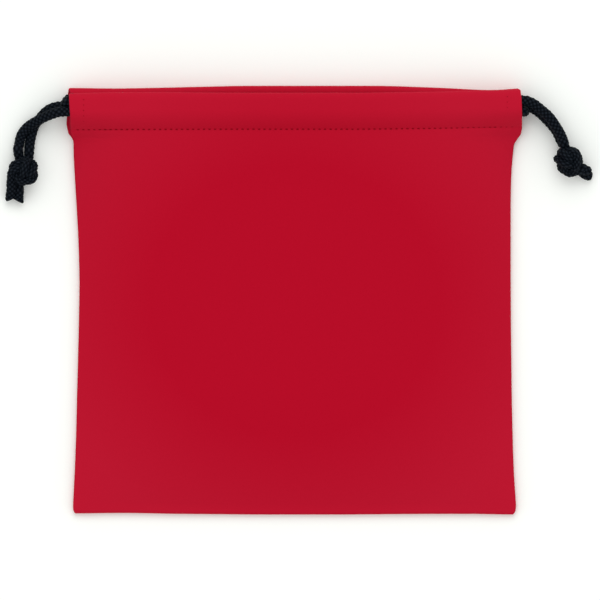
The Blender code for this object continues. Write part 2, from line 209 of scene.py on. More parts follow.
def plainMaterial(name, finish):
    made = bpy.data.materials.new(name)
    made.use_nodes = True
    shader = made.node_tree.nodes["Principled BSDF"]
    shader.inputs["Base Color"].default_value = (*finish["colour"], 1.0)
    shader.inputs["Roughness"].default_value = finish["roughness"]
    shader.inputs["Specular IOR Level"].default_value = finish["specular"]
    return made, shader


def addGrain(material, shader, finish):
    # fine noise in the piece's own coordinates, which also raises the surface a little
    nodes, links = material.node_tree.nodes, material.node_tree.links
    coords, grain, bump = (nodes.new("ShaderNode" + kind) for kind in ("TexCoord", "TexNoise", "Bump"))
    grain.inputs["Scale"].default_value = finish["grainScale"]
    grain.inputs["Detail"].default_value = finish["grainDetail"]
    grain.inputs["Roughness"].default_value = finish["grainRoughness"]
    bump.inputs["Strength"].default_value = finish["bump"]
    bump.inputs["Distance"].default_value = finish["bumpHeight"]
    links.new(coords.outputs["Object"], grain.inputs["Vector"])
    links.new(grain.outputs["Fac"], bump.inputs["Height"])
    links.new(bump.outputs["Normal"], shader.inputs["Normal"])
    return coords, grain


def addRamp(material, stops):
    ramp = material.node_tree.nodes.new("ShaderNodeValToRGB")
    elements = ramp.color_ramp.elements
    elements[0].position, elements[1].position = stops[0][0], stops[-1][0]
    for position, _ in stops[1:-1]:
        elements.new(position)
    for element, (_, colour) in zip(elements, stops):
        element.color = (*colour, 1.0)
    return ramp


blackFinish = {
    "colour": (0.005, 0.006, 0.009),
    "roughness": 0.5,
    "specular": 0.03,
    # painted shade between the braid's strands, lightening to a painted highlight on top of them
    "braidShadeAndHighlight": [(0.15, (0.0002, 0.0003, 0.0008)), (0.68, (0.0022, 0.0040, 0.0068)),
                   (1.0, (0.0150, 0.0195, 0.0270))],
    "grainScale": 4200.0,
    "grainDetail": 3.0,
    "grainRoughness": 0.5,
    "bump": 0.35,
    "bumpHeight": 0.0001,
}
redFinish = {
    "colour": (0.455, 0.0030, 0.0187),
    "paintedSheenColour": (0.490, 0.0076, 0.0275),  # painted sheen: the cloth is coloured lighter towards its edges, where its fluff catches light at grazing angles
    "paintedSheenFade": 0.45,
    "paintedSheenSpread": (8.6, 9.2, 1.0),      # one over the distances from the middle at which the painted sheen is strongest
    "roughness": 0.88,
    "specular": 0.03,
    "sheen": 0.30,
    "sheenRoughness": 0.38,
    "sheenTint": (1.0, 0.10, 0.18, 1.0),
    "fleck": (0.955, 1.045),            # the grain's darkest and lightest
    "grainScale": 1500.0,
    "grainDetail": 4.0,
    "grainRoughness": 0.6,
    "bump": 0.30,
    "bumpHeight": 0.00018,
}
threadFinish = {"colour": (0.25, 0.0008, 0.0060), "roughness": 0.8, "specular": 0.03}


def blackBraid():
    made, shader = plainMaterial("black_braid", blackFinish)
    addGrain(made, shader, blackFinish)
    nodes, links = made.node_tree.nodes, made.node_tree.links
    lie = nodes.new("ShaderNodeAttribute")          # 0 between the braid's strands, 1 on top of them: painted shade in the grooves, painted highlight on the tops
    lie.attribute_name = "lie"
    shade = addRamp(made, blackFinish["braidShadeAndHighlight"])
    links.new(lie.outputs["Fac"], shade.inputs["Fac"])
    links.new(shade.outputs["Color"], shader.inputs["Base Color"])
    return made


def redKnit():
    made, shader = plainMaterial("red_knit", redFinish)
    shader.inputs["Sheen Weight"].default_value = redFinish["sheen"]
    shader.inputs["Sheen Roughness"].default_value = redFinish["sheenRoughness"]
    shader.inputs["Sheen Tint"].default_value = redFinish["sheenTint"]
    coords, grain = addGrain(made, shader, redFinish)
    nodes, links = made.node_tree.nodes, made.node_tree.links
    # painted sheen: the base colour grows lighter with distance from the pouch's middle
    spread = nodes.new("ShaderNodeMapping")
    spread.inputs["Scale"].default_value = redFinish["paintedSheenSpread"]
    sheenFalloff = nodes.new("ShaderNodeTexGradient")
    sheenFalloff.gradient_type = "SPHERICAL"
    paintedSheen = addRamp(made, [(0.0, redFinish["paintedSheenColour"]), (redFinish["paintedSheenFade"], redFinish["colour"])])
    fleck = nodes.new("ShaderNodeMapRange")
    fleck.inputs["To Min"].default_value, fleck.inputs["To Max"].default_value = redFinish["fleck"]
    mix = nodes.new("ShaderNodeVectorMath")
    mix.operation = "SCALE"
    links.new(coords.outputs["Object"], spread.inputs["Vector"])
    links.new(spread.outputs["Vector"], sheenFalloff.inputs["Vector"])
    links.new(sheenFalloff.outputs["Fac"], paintedSheen.inputs["Fac"])
    links.new(grain.outputs["Fac"], fleck.inputs["Value"])
    links.new(paintedSheen.outputs["Color"], mix.inputs["Vector"])
    links.new(fleck.outputs["Result"], mix.inputs["Scale"])
    links.new(mix.outputs["Vector"], shader.inputs["Base Color"])
    return made


cordMaterial, clothMaterial = blackBraid(), redKnit()
threadMaterial, _ = plainMaterial("dark_red_thread", threadFinish)


def addMesh(name, mesh, material):
    mesh.materials.append(material)
    obj = bpy.data.objects.new(name, mesh)
    bpy.context.scene.collection.objects.link(obj)
    return obj


# Points of the free ends are given as (outwards from the casing's end, towards +Y from the cord's place
# in the casing, height over the table).
leftCord = {
    "atMouth": (-0.0007, 0.0010),   # the front and back cord's shift towards +Y where they leave the casing
    "loopShift": -0.0004,           # the same for the turn at the far slit
    "loopDrop": 0.0003,             # and how much further down the turn hangs outside
    # the strand that leaves the front casing, and then the one that leaves the back casing, up to the knot
    "front": [(0.0039, -0.0009, 0.0114), (0.0063, -0.0015, 0.0104), (0.0088, -0.0024, 0.0092),
              (0.0116, -0.0036, 0.0077), (0.0130, -0.0043, 0.0068), (0.0160, -0.0060, 0.0054),
              (0.0191, -0.0084, 0.0043), (0.0212, -0.0115, 0.0036), (0.0220, -0.0152, 0.0036),
              (0.0225, -0.0182, 0.0044)],
    "back": [(0.0039, 0.0016, 0.0030), (0.0074, 0.0009, 0.0024), (0.0097, -0.0004, 0.0022),
             (0.0118, -0.0024, 0.0022), (0.0131, -0.0042, 0.0022), (0.0154, -0.0071, 0.0022),
             (0.0167, -0.0115, 0.0023), (0.0173, -0.0150, 0.0028), (0.0176, -0.0185, 0.0036)],
    "knot": (0.0209, -0.0264, 0.0060),
    "knotTurn": 24.6,           # degrees by which the knot's axis turns from -Y towards the outside
    "knotRoll": 33.4,
    "knotAlong": 0.875,         # the knot is pressed this much shorter along its axis
    "knotAcross": 0.90,         # and this much narrower
    "knotReach": (0.0034, 0.0059),  # how far before and after its middle the knot's own line is kept
    "knotHold": 0.0,            # how firmly its strands keep their own place when they settle
    "tails": [((0.0252, -0.0350, 0.0044), (0.0257, -0.0372, 0.0034), (0.0260, -0.0402, 0.0021)),
              ((0.0226, -0.0350, 0.0036), (0.0225, -0.0374, 0.0026), (0.0222, -0.0416, 0.0021))],
    "tailCut": 0.0024,          # how far the slanting cut runs along the tip
    "tailRound": 0.0006,        # length of the tip that is rounded
}
rightCord = {
    "atMouth": (-0.0002, -0.0010),
    "loopShift": 0.0007,
    "loopDrop": 0.0026,
    "front": [(0.0028, -0.0005, 0.0115), (0.0061, -0.0021, 0.0109), (0.0096, -0.0049, 0.0100),
              (0.0127, -0.0077, 0.0093), (0.0151, -0.0111, 0.0085), (0.0172, -0.0145, 0.0078),
              (0.0184, -0.0170, 0.0074), (0.0194, -0.0205, 0.0068)],
    "back": [(0.0043, -0.0033, 0.0028), (0.0075, -0.0049, 0.0023), (0.0111, -0.0082, 0.0023),
             (0.0137, -0.0110, 0.0023), (0.0159, -0.0139, 0.0024), (0.0175, -0.0173, 0.0027)],
    "knot": (0.0208, -0.0273, 0.0062),
    "knotTurn": 73.5,
    "knotRoll": 59.7,
    "knotAlong": 0.77,
    "knotAcross": 0.90,
    "knotReach": (0.0039, 0.0059),
    "knotHold": 0.05,
    "tails": [((0.0266, -0.0298, 0.0060), (0.0280, -0.0309, 0.0052), (0.0306, -0.0322, 0.0046)),
              ((0.0266, -0.0309, 0.0026), (0.0284, -0.0323, 0.0022), (0.0317, -0.0338, 0.0021))],
    "tailCut": 0.0,
    "tailRound": 0.0016,
}
knotShape = {
    # the open knot that is then drawn tight: its size, how much of its curve is open at the ends, its height
    "openSize": 0.0023,
    "openEnds": 0.42,
    "openRise": 1.6,
    "lead": 0.022,              # length of the straight ends
    "bead": 0.0013,             # length of one link of a strand
    "strand": 0.0030,           # the strands' distance when the knot is drawn tight
    "rounds": 1400,
    "linkRounds": 6,
    "pull": 0.00012,            # how far the ends are pulled in each round
    "guided": 6,                # points at each end that are led side by side
    "guide": 0.03,              # and how firmly
    "nearEvery": 12,            # rounds between two looks at which points may meet, which changes slowly
    "nearReach": 2.2,           # how far apart those may be, in strands
    "push": 0.175,              # how firmly strands push each other off
    "straighten": 0.06,
    # settling the knot on its cord
    "drawn": 0.0031,            # the strands' thickness in the knot
    "thinning": (0.0005, 0.0050),   # distances from the knot between which a strand gets its full thickness
    "freeing": (0.002, 0.010),  # and between which it is held more and more
    "freeHold": 0.5,
    "squeeze": 0.0003,          # how far pressed strands sink into each other
    "settleRounds": 160,
    "settlePush": 0.25,
    "settleStraighten": 0.12,
    "settleReach": 0.010,       # points further apart than this never meet
    "settleSkip": 5,            # nor do points of one strand that are up to this many links apart
    "overTable": 0.0001,
}


def resample(line, step):
    line = np.asarray(line)
    run = np.r_[0, np.cumsum(np.linalg.norm(np.diff(line, axis=0), axis=1))]
    places = np.linspace(0, run[-1], max(int(round(run[-1] / step)), 2) + 1)
    return np.column_stack([np.interp(places, run, line[:, k]) for k in range(3)])


def looseKnot(offset):
    # an overhand knot's middle line, open and with straight ends
    bead, cut = knotShape["bead"], knotShape["openEnds"]
    t = np.linspace(math.pi + cut, 3 * math.pi - cut, 400)
    line = np.column_stack([np.sin(t) + 2 * np.sin(2 * t), np.cos(t) - 2 * np.cos(2 * t),
                            -knotShape["openRise"] * np.sin(3 * t)])
    line = line * knotShape["openSize"] + (0.0, 0.0, offset)
    before, after = line[0] - line[1], line[-1] - line[-2]
    before, after = before / np.linalg.norm(before), after / np.linalg.norm(after)
    steps = np.arange(1, int(knotShape["lead"] / bead) + 1)[:, None] * bead
    line = np.vstack([(line[0] + before * steps)[::-1], line, line[-1] + after * steps])
    return resample(line[::-1] if line[0, 0] > line[-1, 0] else line, bead)


def tightKnot():
    # both strands of a doubled overhand knot, drawn tight along X with their ends side by side
    size, bead = knotShape["strand"], knotShape["bead"]
    ropes = [looseKnot(offset) for offset in (-size / 2, size / 2)]
    count = [len(rope) for rope in ropes]
    points = np.vstack(ropes)
    starts = np.cumsum([0, *count[:-1]])
    ends = starts + np.array(count) - 1
    rope, index = np.repeat([0, 1], count), np.concatenate([np.arange(c) for c in count])
    one, other = np.triu_indices(len(points), 1)
    apart = (rope[one] != rope[other]) | (np.abs(index[one] - index[other]) > math.ceil(size / bead) + 1)
    one, other = one[apart], other[apart]
    links = np.concatenate([s + np.arange(c - 1) for s, c in zip(starts, count)])
    bends = np.concatenate([s + np.arange(c - 4) for s, c in zip(starts, count)])
    sides = np.array([-size / 2, size / 2])
    for turn in range(knotShape["rounds"]):
        if turn % knotShape["nearEvery"] == 0:
            near = ((points[other] - points[one]) ** 2).sum(1) < (size * knotShape["nearReach"]) ** 2
            nearOne, nearOther = one[near], other[near]
        points[starts, 0] -= knotShape["pull"]
        points[ends, 0] += knotShape["pull"]
        for k in range(knotShape["guided"]):
            for at in (starts + k, ends - k):
                points[at, 1] += (sides - points[at, 1]) * knotShape["guide"]
                points[at, 2] -= points[at, 2] * knotShape["guide"]
        for _ in range(knotShape["linkRounds"]):
            for half in (0, 1):
                at = links[index[links] % 2 == half]
                way = points[at + 1] - points[at]
                long = np.linalg.norm(way, axis=1, keepdims=True)
                move = way * (0.5 * (long - bead) / long)
                points[at] += move
                points[at + 1] -= move
            way = points[nearOther] - points[nearOne]
            long = np.linalg.norm(way, axis=1)
            hit = long < size
            move = way[hit] * (knotShape["push"] * (long[hit] - size) / long[hit])[:, None]
            np.add.at(points, nearOne[hit], move)
            np.add.at(points, nearOther[hit], -move)
        move = ((points[bends] + points[bends + 4]) / 2 - points[bends + 2]) * knotShape["straighten"]
        np.add.at(points, bends + 2, move)
        np.add.at(points, bends, -move / 2)
        np.add.at(points, bends + 4, -move / 2)
    knots = [points[s:s + c] for s, c in zip(starts, count)]
    for knot in knots:
        for _ in range(2):
            knot[1:-1] = (knot[:-2] + 2 * knot[1:-1] + knot[2:]) / 4
    return [knot * (1, 1, -1) for knot in knots]    # the hand that the photo's outlines show


knotLines = tightKnot()
print("knot drawn tight")


def catmullRom(points, steps):
    points = np.asarray(points)
    ends = np.vstack([points[0] * 2 - points[1], points, points[-1] * 2 - points[-2]])
    line = []
    for a, b, c, d in zip(ends, ends[1:], ends[2:], ends[3:]):
        for step in range(steps):
            t = step / steps
            line.append(0.5 * (2 * b + (c - a) * t + (2 * a - 5 * b + 4 * c - d) * t**2
                               + (3 * b - 3 * c + d - a) * t**3))
    return np.array([*line, points[-1]])


def channelPoint(x, place, back, endShift):
    # a cord's middle at x in a casing. It follows the cloth's shifts, and near the ends its own.
    inset = max(pouch["casingHalf"] - abs(x), 0.0)
    withCloth = softTable(pouch["backShift"], x) if back else frontLift(x, place)
    atEnd = smooth(*cordSizes["followCloth"], abs(x))
    height = backChannelHeight(inset) if back else frontChannelHeight(inset)
    return np.array((x, place + withCloth * (1 - atEnd) + endShift * atEnd, height)) + originShift


def fromSlit(side, place, offsets):
    start = np.array((side * pouch["casingHalf"], place, 0.0)) + originShift
    return [start + (side * out, up, over) for out, up, over in offsets]


def strandLie(own, crossing, way):
    # how high the strands of one direction lie: round across, and weaving over and under those that cross
    bulge = np.sqrt(np.clip(1 - (2 * (own % 1) - 1) ** 2, 0, 1))
    return bulge + way * cordSizes["braidWeave"] * np.cos(math.pi * (crossing - 0.5 + np.floor(own)))


def braidedTube(name, line, radius, ringSteps, material, cut=0.0, cutWay=None, roundEnd=0.0):
    # line and radius are dense. The braid's strands run round the cord both ways, over and under each other.
    run = np.r_[0, np.cumsum(np.linalg.norm(np.diff(line, axis=0), axis=1))]
    places = ringSteps(run[-1])
    centre = np.column_stack([np.interp(places, run, line[:, k]) for k in range(3)])
    size = np.interp(places, run, radius)
    if roundEnd:
        nearTip = np.clip((places - places[-1]) / roundEnd + 1, 0.0, 1.0)
        size = size * np.sqrt(1 - cordSizes["tipTaper"] * nearTip ** 2)
    tangent = np.gradient(centre, axis=0)
    tangent /= np.linalg.norm(tangent, axis=1, keepdims=True)
    side = np.cross(tangent[0], (0.0, 0.0, 1.0))
    sides = []
    for way in tangent:
        side = side - way * side.dot(way)
        side = side / np.linalg.norm(side)
        sides.append(side)
    sides = np.array(sides)
    ups = np.cross(tangent, sides)
    count = cordSizes["sides"]
    angle = np.arange(count) * 2 * math.pi / count
    lead = cordSizes["braidPitch"] * cordSizes["braidPairs"]
    along, around = np.meshgrid(places / lead, angle / (2 * math.pi), indexing="ij")
    one = cordSizes["braidPairs"] * (around - along)
    two = cordSizes["braidPairs"] * (around + along)
    lie = np.maximum(strandLie(one, two, 1), strandLie(two, one, -1))
    relief = (lie - 1.0) * cordSizes["braidDepth"] / 2
    out = size[:, None] + relief
    ring = sides[:, None] * np.cos(angle)[None, :, None] + ups[:, None] * np.sin(angle)[None, :, None]
    points = centre[:, None] + ring * out[:, :, None]
    if cut:     # the tip is cut at a slant, shorter on the side that cutWay points to
        across = (ring * out[:, :, None]) @ np.asarray(cutWay)
        slide = cut * (0.5 + across / cordSizes["diameter"])
        past = np.maximum(places[:, None] - (places[-1] - slide), 0.0)
        points -= tangent[:, None] * past[:, :, None]
    rings = len(places)
    quads = []
    for row in range(rings - 1):
        a = row * count + np.arange(count)
        b = row * count + (np.arange(count) + 1) % count
        quads.append(np.column_stack([a, b, b + count, a + count]))
    verts = points.reshape(-1, 3).tolist()
    faces = np.vstack(quads).tolist()
    for row, flip in ((0, True), (rings - 1, False)):
        verts.append(points[row].mean(0).tolist())
        for k in range(count):
            a, b = row * count + k, row * count + (k + 1) % count
            faces.append([b, a, len(verts) - 1] if flip else [a, b, len(verts) - 1])
    mesh = bpy.data.meshes.new(name)
    mesh.from_pydata(verts, [], faces)
    mesh.shade_smooth()
    # from this share of the lie the material paints shade between the strands and a highlight on their tops
    lowest, span = cordSizes["braidShadeSpan"]
    shown = np.r_[np.clip((lie.ravel() - lowest) / span, 0.0, 1.0), 0.5, 0.5]
    mesh.attributes.new("lie", "FLOAT", "POINT").data.foreach_set("value", shown)
    return addMesh(name, mesh, material), centre


def evenRings(length):
    return np.linspace(0, length, int(length / cordSizes["ringStep"]) + 1)


def strandLine(side, place, cord, which, rope, tail):
    # from inside the casing, along the free end, through the knot to the tail's tip
    back = which == "back"
    endShift = cord["atMouth"][back]
    inside = [channelPoint(side * pouch["casingHalf"] * share, place, back, endShift)
              for share in cordSizes["strandStart"]]
    free = fromSlit(side, place, cord[which])
    (middle,) = fromSlit(side, place, [cord["knot"]])
    turn, roll = math.radians(cord["knotTurn"]), math.radians(cord["knotRoll"])
    down = np.array((side * math.sin(turn), -math.cos(turn), 0.0))
    across = np.array((math.cos(turn), side * math.sin(turn), 0.0))
    over = np.cross(down, across)
    before, after = cord["knotReach"]
    inKnot = np.flatnonzero((rope[:, 0] > -before) & (rope[:, 0] < after))
    knot = rope[inKnot[0]:inKnot[-1] + 1] * (cord["knotAlong"], cord["knotAcross"], cord["knotAcross"])
    y = knot[:, 1] * math.cos(roll) - knot[:, 2] * math.sin(roll)
    z = knot[:, 1] * math.sin(roll) + knot[:, 2] * math.cos(roll)
    knotted = middle + knot[:, :1] * down + y[:, None] * across + z[:, None] * over
    tip = fromSlit(side, place, tail)
    line = resample(catmullRom([*inside, *free, *knotted[1:-1:2], *tip], steps=8), knotShape["bead"])
    gap = np.array([np.linalg.norm(knotted - p, axis=1).min() for p in line])
    thin = 1 - smooth(*knotShape["thinning"], gap)
    radius = cordSizes["diameter"] / 2 + (knotShape["drawn"] / 2 - cordSizes["diameter"] / 2) * thin
    hold = np.maximum(knotShape["freeHold"] * smooth(*knotShape["freeing"], gap), cord["knotHold"])
    hold[:3] = 1.0
    hold[-1] = 1.0
    return line, radius, hold


def settle(strands):
    # pushes the strands of one knot off each other and off the table, and keeps their free runs in place
    count = [len(line) for line, _, _ in strands]
    points = np.vstack([line for line, _, _ in strands])
    radius = np.concatenate([radius for _, radius, _ in strands])
    hold = np.concatenate([hold for _, _, hold in strands])[:, None]
    home = points.copy()
    starts = np.cumsum([0, *count[:-1]])
    rope, index = np.repeat(np.arange(len(count)), count), np.concatenate([np.arange(c) for c in count])
    one, other = np.triu_indices(len(points), 1)
    apart = (rope[one] != rope[other]) | (np.abs(index[one] - index[other]) > knotShape["settleSkip"])
    near = np.linalg.norm(points[other] - points[one], axis=1) < knotShape["settleReach"]
    one, other = one[apart & near], other[apart & near]
    reach = radius[one] + radius[other] - knotShape["squeeze"]
    bends = np.concatenate([s + np.arange(c - 2) for s, c in zip(starts, count)])
    for _ in range(knotShape["settleRounds"]):
        way = points[other] - points[one]
        long = np.linalg.norm(way, axis=1)
        hit = long < reach
        move = way[hit] * (knotShape["settlePush"] * (long[hit] - reach[hit]) / long[hit])[:, None]
        np.add.at(points, one[hit], move)
        np.add.at(points, other[hit], -move)
        move = ((points[bends] + points[bends + 2]) / 2 - points[bends + 1]) * knotShape["settleStraighten"]
        np.add.at(points, bends + 1, move)
        points[:, 2] = np.maximum(points[:, 2], radius + knotShape["overTable"])
        points += (home - points) * hold
    return [points[s:s + c] for s, c in zip(starts, count)]


def runLine(side, place, cord):
    # inside both casings, and round outside the far slit between them
    half = pouch["casingHalf"]
    far = -side * (half - cordSizes["loopStart"])
    straight = np.array(cordSizes["inCasing"]) * side * half
    front, back = cord["atMouth"]
    along = [channelPoint(x, place, False, front if x * side > 0 else cord["loopShift"]) for x in straight]
    away = [channelPoint(x, place, True, back if x * side > 0 else cord["loopShift"]) for x in straight[::-1]]
    top, bottom = (channelPoint(far, place, isBack, cord["loopShift"]) for isBack in (False, True))
    middle, arm = (top + bottom) / 2, (top - bottom) / 2
    loop = []
    for a in np.radians(np.arange(0, 181, 10)):
        drop = math.sin(a) ** (1 if a < math.pi / 2 else 3) * cord["loopDrop"]
        loop.append(middle + arm * math.cos(a) + (-side * cordSizes["loopReach"] * math.sin(a), -drop, 0.0))
    return resample([*along, *loop, *away], cordSizes["lineStep"])


def runRings(length):
    # fine only near the middle, which is the turn outside the far slit
    low, high = length / 2 - cordSizes["shownReach"], length / 2 + cordSizes["shownReach"]
    hidden = cordSizes["hiddenStep"]
    return np.r_[np.arange(0, low, hidden), np.arange(low, high, cordSizes["ringStep"] * 1.5),
                 np.arange(high, length, hidden), length]


def makeCord(label, side, place, cord):
    line = runLine(side, place, cord)
    radius = np.full(len(line), cordSizes["diameter"] / 2)
    inner, _ = braidedTube(f"{label}_cord_in_casings", line, radius, runRings, cordMaterial)
    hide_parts(f"{label}_cord")
    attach(inner, "root")
    ends = ("front", "back")
    strands = [strandLine(side, place, cord, which, knotLines[number], cord["tails"][number])
               for number, which in enumerate(ends)]
    settled = settle(strands)
    for number, which in enumerate(ends):
        line = catmullRom(settled[number], steps=6)
        radius = catmullRom(strands[number][1][:, None], steps=6)[:, 0]
        cutWay = (1.0 if number == 0 else -1.0, 0.0, 0.0)
        strand, path = braidedTube(f"{label}_cord_{which}_end", line, radius, evenRings, cordMaterial,
                                   cord["tailCut"], cutWay, cord["tailRound"])
        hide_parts(f"{label}_cord", f"{label}_knot")
        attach(strand, "root")


makeCord("left", -1, lowerCord, leftCord)
makeCord("right", 1, upperCord, rightCord)
print("cords made")


def halfWidth(side, height, back):
    name = "left" if side < 0 else "right"
    base = softTable(pouch[name + "Side"], height)
    end = softTable(pouch[name + ("Back" if back else "Front")], height, pouch["endTableRounding"])
    (low, high), soft = pouch[name + "Flare"], pouch["flareRounding"]
    flare = sum(np.clip((height + step - low) / (high - low), 0.0, 1.0) for step in (-soft, 0.0, soft)) / 3
    corner = pouch["cornerCut"] * np.maximum(1 - height / pouch["cornerHeight"], 0.0) ** 2
    return base + (end - base) * flare - corner


def frontPanelHeight(height, inset):
    bodyLength, bodyHeight = pouch["bodyLength"], pouch["bodyHeight"]
    topSide = frontSewnHeight(0.0) + sewnDepth(0.0) / 2
    topMiddle = frontSewnHeight(pouch["sideRounding"]) + pitch / 2
    side = seamHeight + (topSide - seamHeight) * smooth(slitEnd - pouch["seamDrop"], bodyLength, height)
    swell = dome(height - pouch["cornerHeight"], pouch["bottomRounding"])
    towardsCasing = smooth(bodyLength - pouch["casingBlend"], bodyLength, height)
    middle = seamHeight + (bodyHeight - seamHeight) * swell + (topMiddle - bodyHeight) * towardsCasing
    return between(side, max(middle, side), inset)


def casingRows(shift, fold, channel, sewn, depth, sewnGap, side, inner):
    # one layer of a casing from its stitching up to its fold
    low, high = pouch["bodyLength"] + shift, lowerCord + shift
    top, bottom = channel + side * depth / 2, sewn + side * sewnGap / 2
    rows = [(low, bottom, inner)]
    for share in np.linspace(0.94, 0.0, pouch["casingSteps"]):
        rows.append((high - (high - low) * share, top + (bottom - top) * share**2, inner))
    rows += [(high + (fold + shift - high) * share, top, inner) for share in (0.33, 0.67, 1.0)]
    return rows


def foldRows(height, level, radius, start, end, innerSide=0):
    # the cloth bent round a fold, from one angle to the other
    rows = []
    for step in range(1, pouch["foldSteps"]):
        angle = start + (end - start) * step / pouch["foldSteps"]
        rows.append((height + radius * math.cos(angle), level + radius * math.sin(angle),
                     max(math.sin(angle) * innerSide, 0.0)))
    return rows


def section(inset, x):
    # the cloth's middle line from the front flap to the back one,
    # as (height, level, 1 on an inner layer, whether it is on the back)
    depth, sewnGap = channelDepth(inset), sewnDepth(inset)
    channel, sewn = frontChannelHeight(inset), frontSewnHeight(inset)
    fold = foldMiddle - pitch * hemShare(inset)
    radius = seamHeight / 2 - halfCloth / 2
    bodyLength, flap = pouch["bodyLength"], pouch["flap"]
    line = [(bodyLength - flap, sewn - sewnGap / 2, 1)]
    line += casingRows(0.0, fold, channel, sewn, depth, sewnGap, -1, 1)
    line += foldRows(fold, channel, depth / 2, -math.pi / 2, math.pi / 2, -1)
    line += reversed(casingRows(0.0, fold, channel, sewn, depth, sewnGap, 1, 0))
    below = np.linspace(*pouch["nearSeam"])
    line += [(bodyLength - b, frontPanelHeight(bodyLength - b, inset), 0) for b in below]
    reach = bodyLength - below[-1] - pouch["cornerHeight"]
    for share in np.linspace(0.985, 0.0, pouch["bodyRows"]) ** pouch["rowCrowding"]:
        height = pouch["cornerHeight"] + reach * share
        line.append((height, frontPanelHeight(height, inset), 0))
    line = [(h + frontLift(x, h), level, inner) for h, level, inner in line]
    frontCount = len(line)
    centre = halfCloth + radius
    line.append((centre, seamHeight, 0))
    line += foldRows(centre, centre, radius, math.pi / 2, 3 * math.pi / 2)
    line.append((centre, halfCloth, 0))
    line += [(pouch["cornerHeight"] + reach * share, halfCloth, 0)
             for share in np.linspace(0.0, 1.0, pouch["backRows"])]
    line += [(bodyLength - b, halfCloth, 0) for b in below[::-3]]
    shift, back = softTable(pouch["backShift"], x), backChannelHeight(inset)
    line += [(place + shift, halfCloth, 0)
             for place in np.linspace(bodyLength, fold, pouch["backCasingRows"])]
    line += foldRows(fold + shift, back, depth / 2, -math.pi / 2, math.pi / 2, 1)
    line += reversed(casingRows(shift, fold, back, halfCloth + sewnGap / 2, depth, sewnGap, 1, 1))
    line.append((bodyLength - flap + shift, halfCloth + sewnGap, 1))
    bottom = softTable(pouch["bottomShift"], x)
    return [(h + bottom * (1 - smooth(0.0, pouch["bottomFade"], h)), level, inner, number >= frontCount)
            for number, (h, level, inner) in enumerate(line)]


def column(side, inset, middleShare=0.0):
    # one lengthways line of the sheet. Past the sides' rounding, middleShare leads it to the middle.
    x = side * (pouch["casingHalf"] - inset) * (1 - middleShare)
    rows = section(inset, x)
    points = []
    for height, level, inner, back in rows:
        half = halfWidth(side, height, back) - pouch["innerInset"] * inner
        points.append(Vector((side * (half - inset) * (1 - middleShare), height, level)))
    return points


def makeCloth():
    turn = pitch / 2        # radius of the side edges' turn
    insets = np.linspace(halfCloth + turn, pouch["sideRounding"], pouch["sideColumns"])
    shares = np.linspace(0, 1, pouch["middleColumns"] // 2 + 1)[1:]
    columns = [column(-1, inset) for inset in insets]
    columns += [column(-1, insets[-1], share) for share in shares]
    columns += [column(1, insets[-1], share) for share in shares[-2::-1]]
    columns += [column(1, inset) for inset in insets[::-1]]
    bm = bmesh.new()
    grid = [[bm.verts.new(point) for point in points] for points in columns]
    for left, right in zip(grid, grid[1:]):
        for row in range(len(left) - 1):
            bm.faces.new((left[row], right[row], right[row + 1], left[row + 1]))
    bm.normal_update()
    under = int(np.searchsorted(insets, pouch["hem"]))
    for edge, inward in ((0, 1), (len(grid) - 1, -1)):
        turned = []
        for row, vert in enumerate(grid[edge]):
            outward = (vert.co - grid[edge + inward][row].co).normalized()
            arc = []
            for step in range(1, pouch["turnSteps"] + 1):
                angle = math.pi * step / pouch["turnSteps"]
                rise = vert.normal * turn * (1 - math.cos(angle))
                arc.append(vert.co + outward * turn * math.sin(angle) + rise)
            for along in range(1, under + 1):
                over = grid[edge + inward * along][row]
                arc.append(over.co + over.normal * pitch)
            turned.append([bm.verts.new(point) for point in arc])
        for row in range(len(turned) - 1):
            here, there = [grid[edge][row], *turned[row]], [grid[edge][row + 1], *turned[row + 1]]
            for a, b, c, d in zip(here, here[1:], there[1:], there):
                bm.faces.new((a, b, c, d) if inward < 0 else (d, c, b, a))
    bmesh.ops.translate(bm, verts=bm.verts, vec=Vector(originShift))
    bmesh.ops.recalc_face_normals(bm, faces=bm.faces)
    mesh = bpy.data.meshes.new("pouch")
    bm.to_mesh(mesh)
    bm.free()
    mesh.shade_smooth()
    cloth = addMesh("pouch", mesh, clothMaterial)
    thicken = cloth.modifiers.new("Thickness", "SOLIDIFY")
    thicken.thickness = pouch["thickness"]
    thicken.offset = 0.0
    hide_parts("pouch_cloth")
    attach(cloth, "root")


makeCloth()
print("cloth made")

stitches = {
    "pitch": 0.00243,
    "long": 0.00125,            # thread showing between two needle holes
    "wide": 0.00058,
    "bow": 0.45,                # how high a stitch stands, for its width
    "sunk": 0.00012,
    "endHalf": 0.00002,         # keeps a stitch's ends from closing to a point
    "lean": 0.10,               # most by which every other stitch lies askew
    "leanTurn": 2.4,            # radians from stitch to stitch, so that they lean differently
    "rowHalf": 0.0965,          # the casing's row ends this far from the middle
    "slitRows": (-0.0933, 0.0939),
    "slitStart": 0.0012,        # those rows' first stitch over the casing's row
    "slitTop": 0.0130,          # and their length
    "slitLong": 0.0006,
    "slitWide": 0.42,           # their stitches' width for that of the casing's
}


def casingSkin(x, height):
    # the front casing's outer surface over the table, between its stitching and its fold
    inset = pouch["casingHalf"] - abs(x)
    depth, sewn = channelDepth(inset), sewnDepth(inset)
    top = frontChannelHeight(inset) + depth / 2
    bottom = frontSewnHeight(inset) + sewn / 2
    share = np.clip((lowerCord - height) / (lowerCord - pouch["bodyLength"]), 0.0, 1.0)
    return top + (bottom - top) * share**2 + halfCloth


